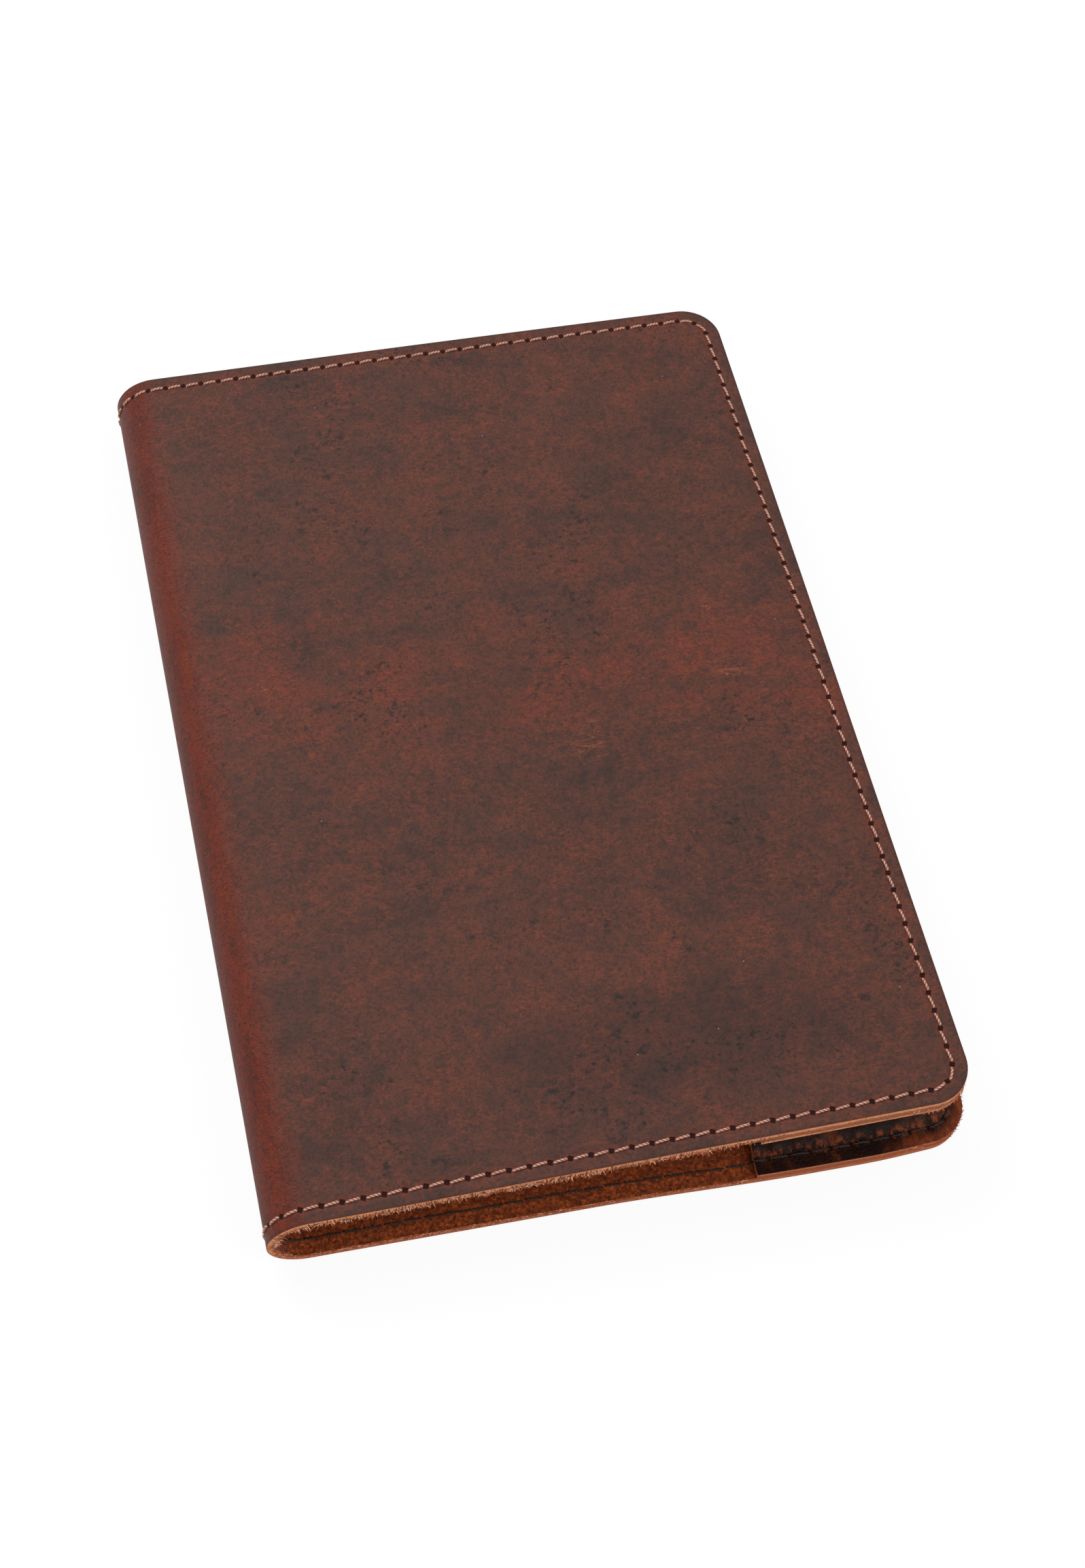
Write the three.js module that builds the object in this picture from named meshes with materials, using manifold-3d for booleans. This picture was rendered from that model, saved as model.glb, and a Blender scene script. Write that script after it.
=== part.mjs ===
// Leather notebook: a sewn leather cover with a pocket in each side, round a soft-cover paper refill.
// Millimetres. X runs from the spine to the fore edge, Y from tail to head, Z up from the table.
import * as THREE from 'three';
import { mergeVertices } from 'three/addons/utils/BufferGeometryUtils.js';
import Module from 'manifold-3d';

// Cover, closed
const coverWidth = 148; // outermost line of the spine to the fore edge
const coverHeight = 219; // tail to head
const coverLeather = 2.3; // thickness of the outer sheet
const coverCornerRadius = 9; // fore-edge corners
const edgeBreak = 0.45; // rubbed-down edge of the sheet
const spineStrips = 3; // bending strips between the two sides
const stripGap = 0.3;

// Pockets sewn inside the fore edge
const pocketLeather = 1.4;
const pocketReach = 46; // fore edge to the pocket's free edge
const bondGap = 0.25; // between the sheet and the pocket along the seam
const seamRim = 4.2; // width that the seam holds flat
const pocketRamp = 1.6; // width over which the pocket rises off the sheet

// Seam all round the cover: awl holes through the sheet and the pockets
const stitchPitch = 4.23; // six to the inch, eased so that whole stitches fill the seam
const seamInset = 3.2;
const awlLength = 0.9; // hole, along the seam
const awlWidth = 0.55;
const holeWall = 0.45; // leather left between a hole and the end of a piece

// Refill
const foreMargin = 16.3; // fore edge of the cover to the refill's
const headMargin = 5.4;
const tailMargin = 10.6;
const refillCornerRadius = 6;
const refillCard = 0.5; // cover card of the refill
const cardClearance = 0.6; // the refill slides over the bending spine with this to spare
const refillSpineOffset = 4.5; // spine's centre of curvature to the refill's flat back
const refillShoulderOffset = 1.5; // the same centre to the centre of the refill's rounded shoulders
const creaseOffset = 8.6; // the same centre to the crease where the front card folds open
const creaseGap = 0.9; // room for the card to slide past its spine as the cover opens
const signaturesPerHalf = 3;
const signatureThickness = 1.4; // a gathering of folded sheets
const signatureGap = 0.3;
const shoulderRoom = 0.85; // outermost gathering to the card inside the rounded spine
const leafClearance = 0.39; // the same gathering to the pocket's free edge

// Smoothness of round forms
const cornerSteps = 6;
const lipSteps = 3;
const stripSteps = 6;
const shoulderSteps = 6;
const foldSteps = 6;

// The cover is cut round the refill: the spine's radius and the angle between the sides come from what they hold.
const cardSlot = refillCard + 2 * cardClearance;
const leafStack = signaturesPerHalf * (signatureThickness + signatureGap) - signatureGap / 2;
const innerRadius = cardClearance + refillCard + shoulderRoom + leafStack;
const spineRadius = innerRadius + coverLeather;
const panelReach = coverWidth - spineRadius; // spine's centre to the fore edge
const pocketTop = innerRadius - cardSlot - pocketLeather;
const halfGape = Math.asin((leafStack + leafClearance - pocketTop) / (panelReach - pocketReach));
const spineTurn = Math.PI - 2 * halfGape; // the angle that the spine bends through
const stripTurn = spineTurn / (spineStrips + 1); // each side keeps half a strip's bend as a lip
const gapTurn = stripGap / 2 / innerRadius;
const holeTurn = (awlLength / 2 + holeWall) / innerRadius;

const wasm = await Module();
wasm.setup();

const coverPlan = {
  halfHeight: coverHeight / 2,
  reach: panelReach,
  radius: coverCornerRadius,
  middle: 0,
};
const refillPlan = {
  halfHeight: (coverHeight - headMargin - tailMargin) / 2,
  reach: panelReach - foreMargin,
  radius: refillCornerRadius,
  middle: (tailMargin - headMargin) / 2,
};

const hide = { color: 0x3a1d14, roughness: 0.55, metalness: 0 };
const liningHide = { color: 0x24110c, roughness: 0.4, metalness: 0 };
const card = { color: 0x2b2622, roughness: 0.8, metalness: 0 };
const paper = { color: 0xe9e2cf, roughness: 0.9, metalness: 0 };

function piece(name, geometry, finish) {
  const mesh = new THREE.Mesh(geometry, new THREE.MeshStandardMaterial(finish));
  mesh.name = name;
  return mesh;
}

function solidFrom(geometry) {
  const bare = geometry.clone();
  bare.deleteAttribute('normal');
  bare.deleteAttribute('uv');
  const merged = mergeVertices(bare);
  return new wasm.Manifold(
    new wasm.Mesh({ numProp: 3, vertProperties: merged.attributes.position.array, triVerts: merged.index.array }),
  );
}

function geometryFrom(solid) {
  const { vertProperties, triVerts } = solid.getMesh();
  const geometry = new THREE.BufferGeometry();
  geometry.setAttribute('position', new THREE.BufferAttribute(vertProperties, 3));
  geometry.setIndex(new THREE.BufferAttribute(triVerts, 1));
  geometry.computeVertexNormals();
  return geometry;
}

// Awl holes of one side from the spine's middle to the fore edge: how far along the sheet from where
// its flat starts (less than 0 on the spine), how far up, and which way the seam heads.
function seamMarks() {
  const corner = coverCornerRadius - seamInset;
  const onSpine = (spineRadius * spineTurn) / 2;
  const straight = onSpine + panelReach - coverCornerRadius;
  const round = (corner * Math.PI) / 2;
  const rise = coverHeight / 2 - coverCornerRadius;
  const stitches = Math.round((straight + round + rise) / stitchPitch);
  const marks = [];
  for (let k = 0; k <= stitches; k++) {
    const run = ((straight + round + rise) * k) / stitches;
    const angle = THREE.MathUtils.clamp((run - straight) / corner, 0, Math.PI / 2);
    const along = Math.min(run, straight) - onSpine + corner * Math.sin(angle);
    const up = rise + corner * Math.cos(angle) - Math.max(0, run - straight - round);
    marks.push({ along, up, heading: -angle });
    if (k < stitches) marks.push({ along, up: -up, heading: angle });
  }
  return marks;
}

// Awl holes through a sheet whose outer face is so far from the spine's centre, where the marks are wanted.
function pierced(geometry, outer, thickness, isWanted) {
  let solid = solidFrom(geometry);
  const bend = new THREE.Matrix4();
  for (const { along, up, heading } of seamMarks()) {
    const turn = Math.max(0, -along) / spineRadius;
    for (const place of new Set([turn, along < 0 ? spineTurn - turn : turn])) {
      if (!isWanted(place, along)) continue;
      const awl = new THREE.CylinderGeometry(0.5, 0.5, thickness + awlWidth, 4);
      awl.scale(awlLength, 1, awlWidth).rotateX(Math.PI / 2).rotateZ(heading);
      awl.translate(Math.max(0, along), up, thickness / 2 - outer);
      solid = solid.subtract(solidFrom(awl.applyMatrix4(bend.makeRotationY(place))));
    }
  }
  return geometryFrom(solid);
}

// A closed solid skinned through sections in order along Y, each an outline of as many [x, z] points.
function skinAlongY(sections) {
  const turned = THREE.ShapeUtils.area(sections[0].outline.map(([x, z]) => new THREE.Vector2(x, z))) < 0;
  const outlines = sections.map(({ outline }) => (turned ? [...outline].reverse() : outline));
  const count = outlines[0].length;
  const positions = sections.flatMap(({ y }, s) => outlines[s].flatMap(([x, z]) => [x, y, z]));
  const indices = [];
  for (let s = 0; s + 1 < sections.length; s++) {
    for (let i = 0; i < count; i++) {
      const here = s * count + i;
      const next = s * count + ((i + 1) % count);
      indices.push(here, next + count, next, here, here + count, next + count);
    }
  }
  addCap(indices, outlines[0], 0, false);
  addCap(indices, outlines.at(-1), (sections.length - 1) * count, true);
  const geometry = new THREE.BufferGeometry();
  geometry.setAttribute('position', new THREE.Float32BufferAttribute(positions, 3));
  geometry.setIndex(indices);
  geometry.computeVertexNormals();
  return geometry;
}

function addCap(indices, outline, offset, facesHead) {
  const points = outline.map(([x, z]) => new THREE.Vector2(x, z));
  for (const [a, b, c] of THREE.ShapeUtils.triangulateShape(points, [])) {
    const clockwise = THREE.ShapeUtils.area([points[a], points[b], points[c]]) < 0;
    const [second, third] = clockwise === facesHead ? [b, c] : [c, b];
    indices.push(offset + a, offset + second, offset + third);
  }
}

// How far a sheet with two rounded fore-edge corners reaches in X at one place along Y.
function reachAt(plan, y, inset = 0) {
  const intoCorner = Math.abs(y - plan.middle) - (plan.halfHeight - plan.radius);
  if (intoCorner <= 0) return plan.reach - inset;
  const radius = plan.radius - inset;
  return plan.reach - plan.radius + Math.sqrt(Math.max(0, radius ** 2 - intoCorner ** 2));
}

// Places along Y that follow the rounded corners; the first and last are the sheet's two ends.
function stationsOf(plan, edge) {
  const straight = plan.halfHeight - plan.radius;
  const lastTurn = Math.asin((plan.radius - edge) / plan.radius);
  const rise = [];
  for (let k = 0; k <= cornerSteps; k++) rise.push(straight + plan.radius * Math.sin((lastTurn * k) / cornerSteps));
  rise.push(plan.halfHeight);
  return [...rise.map((y) => -y).reverse(), ...rise].map((y) => plan.middle + y);
}

// Points round the spine's centre, from straight down towards the spine side.
function arc(radius, fromTurn, toTurn, steps, [centreX, centreZ] = [0, 0]) {
  const points = [];
  for (let k = 0; k <= steps; k++) {
    const turn = fromTurn + ((toTurn - fromTurn) * k) / steps;
    points.push([centreX - radius * Math.sin(turn), centreZ - radius * Math.cos(turn)]);
  }
  return points;
}

// One side of the outer sheet: flat, with rounded fore-edge corners and a lip where the spine begins.
function sidePanel() {
  const lipTurn = stripTurn / 2 - gapTurn;
  const stations = stationsOf(coverPlan, edgeBreak);
  const sheet = skinAlongY(
    stations.map((y, index) => {
      const thinned = index === 0 || index === stations.length - 1 ? edgeBreak : 0;
      const full = reachAt(coverPlan, y);
      const inset = Math.min(reachAt(coverPlan, y, edgeBreak), full - edgeBreak);
      const outer = spineRadius - thinned;
      const inner = innerRadius + thinned;
      const outline = [
        [full, -spineRadius + edgeBreak],
        [inset, -outer],
        ...arc(outer, 0, lipTurn, lipSteps),
        ...arc(inner, 0, lipTurn, lipSteps).reverse(),
        [inset, -inner],
        [full, -innerRadius - edgeBreak],
      ];
      return { y, outline };
    }),
  );
  return pierced(sheet, spineRadius, coverLeather, (turn) => turn < lipTurn - holeTurn);
}

// One bending strip of the outer sheet, numbered from the back.
function spineStrip(number) {
  const fromTurn = stripTurn * (number - 0.5) + gapTurn;
  const toTurn = stripTurn * (number + 0.5) - gapTurn;
  const half = coverHeight / 2;
  const places = [
    [-half, edgeBreak],
    [-half + edgeBreak, 0],
    [half - edgeBreak, 0],
    [half, edgeBreak],
  ];
  const sheet = skinAlongY(
    places.map(([y, thinned]) => ({
      y,
      outline: [
        ...arc(spineRadius - thinned, fromTurn, toTurn, stripSteps),
        ...arc(innerRadius + thinned, fromTurn, toTurn, stripSteps).reverse(),
      ],
    })),
  );
  const isClear = (turn) => turn > fromTurn + holeTurn && turn < toTurn - holeTurn;
  return pierced(sheet, spineRadius, coverLeather, isClear);
}

// A pocket: held flat along the seam on three sides and raised by the slot for the refill's card.
function pocket() {
  const raised = cardSlot - bondGap;
  const floor = -innerRadius + bondGap;
  const half = coverPlan.halfHeight;
  const freeEdge = panelReach - pocketReach;
  const rampPlaces = [half - seamRim - pocketRamp, half - seamRim];
  const stations = [...stationsOf(coverPlan, edgeBreak), ...rampPlaces, ...rampPlaces.map((y) => -y)];
  stations.sort((a, b) => a - b);
  const heightAt = (distance) => THREE.MathUtils.clamp((distance - seamRim) / pocketRamp, 0, 1) * raised;
  const sheet = skinAlongY(
    stations.map((y) => {
      const reach = reachAt(coverPlan, y);
      const across = [freeEdge, reach - seamRim - pocketRamp, reach - seamRim, reach];
      const under = across.map((x) => {
        const distance = Math.min(half - Math.abs(y), reach - x);
        return [x, floor + heightAt(distance)];
      });
      const over = under.map(([x, z]) => [x, z + pocketLeather]).reverse();
      return { y, outline: [...under, ...over] };
    }),
  );
  const isOnPocket = (turn, along) => along > freeEdge + awlLength / 2 + holeWall;
  return pierced(sheet, -floor, pocketLeather, isOnPocket);
}

// A gathering of folded sheets, numbered from the middle of the refill outwards.
function signature(number) {
  const half = signatureThickness / 2;
  const level = -(signatureGap / 2 + (signatureThickness + signatureGap) * (number - 1) + half);
  const shoulder = shoulderRadius() - refillCard - cardClearance - half;
  const round = refillShoulderOffset - Math.sqrt(shoulder ** 2 - level ** 2);
  const flat = -refillSpineOffset + refillCard + cardClearance + half;
  const foldCentre = [Math.max(round, flat), level];
  return skinAlongY(
    stationsOf(refillPlan, edgeBreak).map((y) => {
      const reach = reachAt(refillPlan, y);
      const fold = arc(half, 0, Math.PI, foldSteps, foldCentre);
      return { y, outline: [[reach, level - half], ...fold, [reach, level + half]] };
    }),
  );
}

// The refill's shoulder runs into its card, which lies flat on the sheet.
function shoulderRadius() {
  return innerRadius + refillShoulderOffset * Math.sin(halfGape) - cardClearance;
}

// Half of the refill's cover in a side's frame: flat card, rounded shoulder and half of its back.
function refillWrap(reachOf, stations) {
  const outside = shoulderRadius();
  const inside = outside - refillCard;
  const centre = alongMiddle(refillShoulderOffset, 0);
  const depth = refillShoulderOffset + refillSpineOffset;
  const outerTurn = Math.asin(depth / outside) - halfGape;
  const innerTurn = Math.asin((depth - refillCard) / inside) - halfGape;
  const outerEnd = alongMiddle(-refillSpineOffset, -signatureGap / 2);
  const innerEnd = alongMiddle(-refillSpineOffset + refillCard, -signatureGap / 2);
  return skinAlongY(
    stations.map((y) => ({
      y,
      outline: [
        [reachOf(y), centre[1] - outside],
        ...arc(outside, 0, outerTurn, shoulderSteps, centre),
        outerEnd,
        innerEnd,
        ...arc(inside, 0, innerTurn, shoulderSteps, centre).reverse(),
        [reachOf(y), centre[1] - inside],
      ],
    })),
  );
}

// The front card, from its crease to its fore edge.
function refillFrontCard() {
  const outside = -innerRadius + cardClearance;
  const inside = outside + refillCard;
  return skinAlongY(
    stationsOf(refillPlan, edgeBreak).map((y) => {
      const reach = reachAt(refillPlan, y);
      return { y, outline: [[creaseOffset, outside], [reach, outside], [reach, inside], [creaseOffset, inside]] };
    }),
  );
}

// A place given along and across the plane midway between the sides, in a side's own frame.
function alongMiddle(along, across) {
  return [
    along * Math.cos(halfGape) - across * Math.sin(halfGape),
    along * Math.sin(halfGape) + across * Math.cos(halfGape),
  ];
}

// Everything in one side, in a frame whose origin is the spine's centre of curvature.
function side(name) {
  const group = new THREE.Group();
  group.add(piece(`${name}_panel`, sidePanel(), hide));
  group.add(piece(`${name}_pocket`, pocket(), liningHide));
  return group;
}

// The gatherings of one half lie between the two sides, square to the plane midway between them.
function gatherings(numberOf) {
  const group = new THREE.Group();
  group.rotation.y = -halfGape;
  for (let k = 1; k <= signaturesPerHalf; k++) group.add(piece(`signature_${numberOf(k)}`, signature(k), paper));
  return group;
}

// The front half is the back half turned over about the line midway between the two sides.
function turnedOver(group) {
  group.quaternion.setFromAxisAngle(new THREE.Vector3(Math.cos(halfGape), 0, Math.sin(halfGape)), Math.PI);
  return group;
}

const notebook = new THREE.Group();
notebook.position.set(spineRadius - coverWidth / 2, 0, spineRadius);

notebook.add(side('back'));
notebook.add(turnedOver(side('front')));
for (let number = 1; number <= spineStrips; number++) {
  notebook.add(piece(`spine_strip_${number}`, spineStrip(number), hide));
}

const backRefill = new THREE.Group();
const backReach = (y) => reachAt(refillPlan, y);
backRefill.add(piece('refill_back_cover', refillWrap(backReach, stationsOf(refillPlan, edgeBreak)), card));
backRefill.add(gatherings((k) => signaturesPerHalf + k));
notebook.add(backRefill);

const frontRefill = new THREE.Group();
const wrapEnds = [-refillPlan.halfHeight, refillPlan.halfHeight].map((y) => refillPlan.middle + y);
const creaseReach = () => creaseOffset - creaseGap;
frontRefill.add(piece('refill_spine_wrap', refillWrap(creaseReach, wrapEnds), card));
frontRefill.add(piece('refill_front_cover', refillFrontCard(), card));
frontRefill.add(gatherings((k) => signaturesPerHalf + 1 - k));
frontRefill.scale.y = -1;
notebook.add(turnedOver(new THREE.Group().add(frontRefill)));

const part = new THREE.Group();
part.add(notebook);

export default part;
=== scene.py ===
import math
import random
import bpy
from mathutils import Matrix, Vector


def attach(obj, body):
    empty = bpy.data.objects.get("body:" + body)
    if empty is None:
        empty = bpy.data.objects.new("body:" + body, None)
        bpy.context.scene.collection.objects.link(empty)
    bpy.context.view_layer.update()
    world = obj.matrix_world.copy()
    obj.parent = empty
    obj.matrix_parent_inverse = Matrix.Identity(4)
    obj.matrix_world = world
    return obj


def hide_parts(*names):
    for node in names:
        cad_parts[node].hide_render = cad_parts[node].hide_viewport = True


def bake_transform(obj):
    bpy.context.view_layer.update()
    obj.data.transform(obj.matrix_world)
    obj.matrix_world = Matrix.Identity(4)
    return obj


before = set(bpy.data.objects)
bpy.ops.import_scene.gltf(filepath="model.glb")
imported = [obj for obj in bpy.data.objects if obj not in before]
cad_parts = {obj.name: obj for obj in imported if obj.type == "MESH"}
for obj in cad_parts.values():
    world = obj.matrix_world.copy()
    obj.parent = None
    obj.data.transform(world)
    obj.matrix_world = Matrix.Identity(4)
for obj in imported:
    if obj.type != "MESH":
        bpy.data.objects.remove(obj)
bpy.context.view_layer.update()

# Sizes are in millimetres, and these two turn them into metres and centimetres.
mm = 0.001
cm = 10

# The outer leather is one sheet, cut flat and then folded round the refill.
cover = {
    "width": 148.0, "height": 219.0, "thickness": 2.3, "spineRadius": 9.2,
    "gape": math.radians(1.9017), "corner": 9.0, "rubbed": 0.42, "strips": 3, "hingeShare": 0.985,
    "rings": (0.5, 0.6, 0.9, 0.7, 0.55, 0.55, 0.8, 1.2, 1.8),
    "step": 3.4, "spineStep": 0.9, "softBeyond": 3.0, "skived": 0.28, "skivedTo": 2.0, "skivedOut": 9.0,
}
turn = math.pi - cover["gape"]
stripTurn = turn / (cover["strips"] + 1)
halfArc = cover["spineRadius"] * turn / 2
panelReach = cover["width"] - cover["spineRadius"]
halfWidth = halfArc + panelReach
halfHeight = cover["height"] / 2
spineCentre = Vector((cover["spineRadius"] - cover["width"] / 2, 0, cover["spineRadius"]))

# What wear has done to it: a slight wave, the front's fore corners bent, the sheet pressed in along the seam,
# and the back's corner at the tail spread and sagging. Ranges run along x from the spine, or up y.
wear = {
    "wave": 0.1, "waveAcross": (0.043, 1.1), "waveUp": (0.037, 0.4), "waveFrom": 25.0,
    "headDroop": 0.75, "tailLift": 1.2, "upPower": 1.5, "pressed": 0.13, "pressedWidth": 0.9,
    "spread": 3.2, "spreadUp": 60.0, "spreadAcross": (70.0, 125.0),
    "sag": 1.0, "sagUp": -30.0, "sagStarts": (60.0, 105.0), "sagEnds": (138.0, 115.0),
}

# The seam runs round the whole sheet, a little way in from its edge. Shares are shares of a stitch.
seam = {
    "inset": 3.2, "stitchesPerQuarter": 60, "length": 0.99, "sides": 8, "capFrom": 0.9, "smooth": 60,
    "cuts": (-0.42, -0.34, -0.26, -0.12, 0.12, 0.26, 0.34, 0.42),
    "sunk": 0.9, "narrowed": 0.3, "flattened": 0.25, "droop": 0.25, "droopAt": 0.3,
    "wander": 0.07, "lift": (-0.04, 0.05),
}
# Its two threads: the outer one, and the bobbin's on the inside
outer = {"width": 0.58, "proud": 0.22, "dip": 0.25, "slant": 0.26}
bobbin = {"width": 0.46, "proud": 0.14, "dip": 0.43, "slant": 0.1}
alongTail = halfWidth - cover["corner"]
upFore = halfHeight - cover["corner"]
seamCorner = cover["corner"] - seam["inset"]
roundCorner = seamCorner * math.pi / 2
wholeRun = alongTail + roundCorner + upFore
pitch = wholeRun / seam["stitchesPerQuarter"]

# A pocket is a thinner sheet inside the fore edge. It stands off the cover further in than the seam, and is
# puckered between the stitches: each pucker has the place in from the edge and the width of its bell.
pocket = {
    "reach": 46.0, "height": cover["height"], "thickness": 1.4, "corner": cover["corner"], "rubbed": 0.3,
    "rings": (0.4, 0.8, 1.0, 0.8, 0.6, 0.7, 0.9, 1.0, 1.2), "step": 1.4,
    "slot": 1.65, "slotFrom": (3.3, 7.6), "room": 0.06,
    "pucker": 0.42, "puckerAt": (5.4, 1.5), "rimPucker": 0.12, "rimPuckerAt": (1.6, 1.0),
    "pull": 0.125, "pullWidth": 0.6,
}
pocketFrom = halfWidth - pocket["reach"]


def smoothStep(low, high, value):
    t = min(1.0, max(0.0, (value - low) / (high - low)))
    return t * t * (3 - 2 * t)


def bell(value, middle, width):
    return math.exp(-(((value - middle) / width) ** 2))


# How far a place on the flat sheet lies along the seam from the spine, and how far in from the edge
def seamPlace(along, y):
    x, up = abs(along), abs(y)
    right, above = x - alongTail, up - upFore
    if right > 0 and above > 0:
        return alongTail + math.atan2(right, above) * seamCorner, cover["corner"] - math.hypot(right, above)
    if halfHeight - up < halfWidth - x:
        return min(x, alongTail), halfHeight - up
    return wholeRun - min(up, upFore), halfWidth - x


# The other way round: the place on the flat sheet that lies so far along the seam and so far in
def sheetPlace(run, inward):
    if run < alongTail:
        return run, halfHeight - inward
    if run < alongTail + roundCorner:
        angle = (run - alongTail) / seamCorner
        radius = cover["corner"] - inward
        return alongTail + radius * math.sin(angle), upFore + radius * math.cos(angle)
    return halfWidth - inward, upFore - (run - alongTail - roundCorner)


# How far the worn sheet stands off from flat, outwards
def relaxed(along, y):
    (across, acrossPhase), (upwards, upPhase) = wear["waveAcross"], wear["waveUp"]
    out = wear["wave"] * math.sin(along * across + acrossPhase) * math.cos(y * upwards + upPhase)
    out *= smoothStep(halfArc, halfArc + wear["waveFrom"], abs(along))
    if along > halfArc:
        share = (along - halfArc) / panelReach
        head = max(y / halfHeight, 0) ** wear["upPower"]
        tail = max(-y / halfHeight, 0) ** wear["upPower"]
        out += share ** 2 * (wear["tailLift"] * tail - wear["headDroop"] * head)
    return out - wear["pressed"] * bell(seamPlace(along, y)[1], seam["inset"], wear["pressedWidth"])


# Folds a place on the flat sheet, and a depth below its grain side, into the closed notebook
def folded(along, y, depth):
    # the sheet is pared a little on the inside where it bends
    pared = 1 - smoothStep(halfArc + cover["skivedTo"], halfArc + cover["skivedOut"], abs(along))
    depth -= cover["skived"] * pared * min(1.0, max(0.0, depth / cover["thickness"]))
    radius = cover["spineRadius"] - depth + relaxed(along, y)
    sag = 0.0
    if along < -halfArc:
        reach = -along - halfArc
        tail = smoothStep(wear["spreadUp"], -halfHeight, y)
        place = Vector((reach + wear["spread"] * tail * smoothStep(*wear["spreadAcross"], reach), 0, -radius))
        tail *= smoothStep(*wear["sagStarts"], reach) * smoothStep(*wear["sagEnds"], reach)
        sag = wear["sag"] * tail * smoothStep(wear["sagUp"], -halfHeight, y)
    elif along <= halfArc:
        angle = (along + halfArc) / cover["spineRadius"]
        place = Vector((-radius * math.sin(angle), 0, -radius * math.cos(angle)))
    else:
        sine, cosine = math.sin(cover["gape"]), math.cos(cover["gape"])
        place = Vector((-radius * sine, 0, radius * cosine)) + (along - halfArc) * Vector((cosine, 0, sine))
    place += spineCentre
    place.y = y - sag
    return place * mm


def clearSelection():
    if bpy.context.mode != "OBJECT":
        bpy.ops.object.mode_set(mode="OBJECT")
    bpy.ops.object.select_all(action="DESELECT")


def pick(obj):
    clearSelection()
    obj.select_set(True)
    bpy.context.view_layer.objects.active = obj


# Edit mode with all selected, or only what is wanted of the vertices or faces
def edit(obj, kind="FACE", wanted=None):
    pick(obj)
    bpy.ops.object.mode_set(mode="EDIT")
    bpy.ops.mesh.select_mode(type=kind)
    bpy.ops.mesh.select_all(action="DESELECT" if wanted else "SELECT")
    if wanted:
        bpy.ops.object.mode_set(mode="OBJECT")
        for part in obj.data.vertices if kind == "VERT" else obj.data.polygons:
            part.select = wanted(part)
        bpy.ops.object.mode_set(mode="EDIT")


def joinAll(pieces):
    clearSelection()
    for piece in pieces:
        piece.select_set(True)
    bpy.context.view_layer.objects.active = pieces[0]
    bpy.ops.object.join()
    return bpy.context.object


def twin(model):
    piece = model.copy()
    piece.data = model.data.copy()
    bpy.context.collection.objects.link(piece)
    return piece


def rename(obj, name):
    obj.name = obj.data.name = name


def finishUp(obj, angle=40):
    pick(obj)
    bpy.ops.object.shade_smooth_by_angle(angle=math.radians(angle))
    obj.data.update()


def paint(obj, *finishes):
    obj.data.materials.clear()
    for finish in finishes:
        obj.data.materials.append(finish)


class Signal:
    def __init__(self, finish, socket):
        self.finish, self.socket = finish, socket

    def maths(self, operation, *values):
        return self.finish.node("ShaderNodeMath", {"operation": operation}, dict(enumerate(values)))

    def __add__(self, other):
        return self.maths("ADD", self, other)

    def __radd__(self, other):
        return self.maths("ADD", other, self)

    def __sub__(self, other):
        return self.maths("SUBTRACT", self, other)

    def __rsub__(self, other):
        return self.maths("SUBTRACT", other, self)

    def __mul__(self, other):
        return self.maths("MULTIPLY", self, other)

    def __rmul__(self, other):
        return self.maths("MULTIPLY", other, self)

    def __truediv__(self, other):
        return self.maths("DIVIDE", self, other)

    def cosine(self):
        return self.maths("COSINE", self)

    def size(self):
        return self.maths("ABSOLUTE", self)

    def atMost(self, other):
        return self.maths("MINIMUM", self, other)

    def atLeast(self, other):
        return self.maths("MAXIMUM", self, other)

    # 0 below low and 1 above high, or the other way round where low is the larger
    def between(self, low, high):
        ends = {1: low, 2: high, 3: 0.0, 4: 1.0} if low < high else {1: high, 2: low, 3: 1.0, 4: 0.0}
        return self.finish.node("ShaderNodeMapRange", {"interpolation_type": "SMOOTHSTEP"}, {0: self, **ends})


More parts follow.
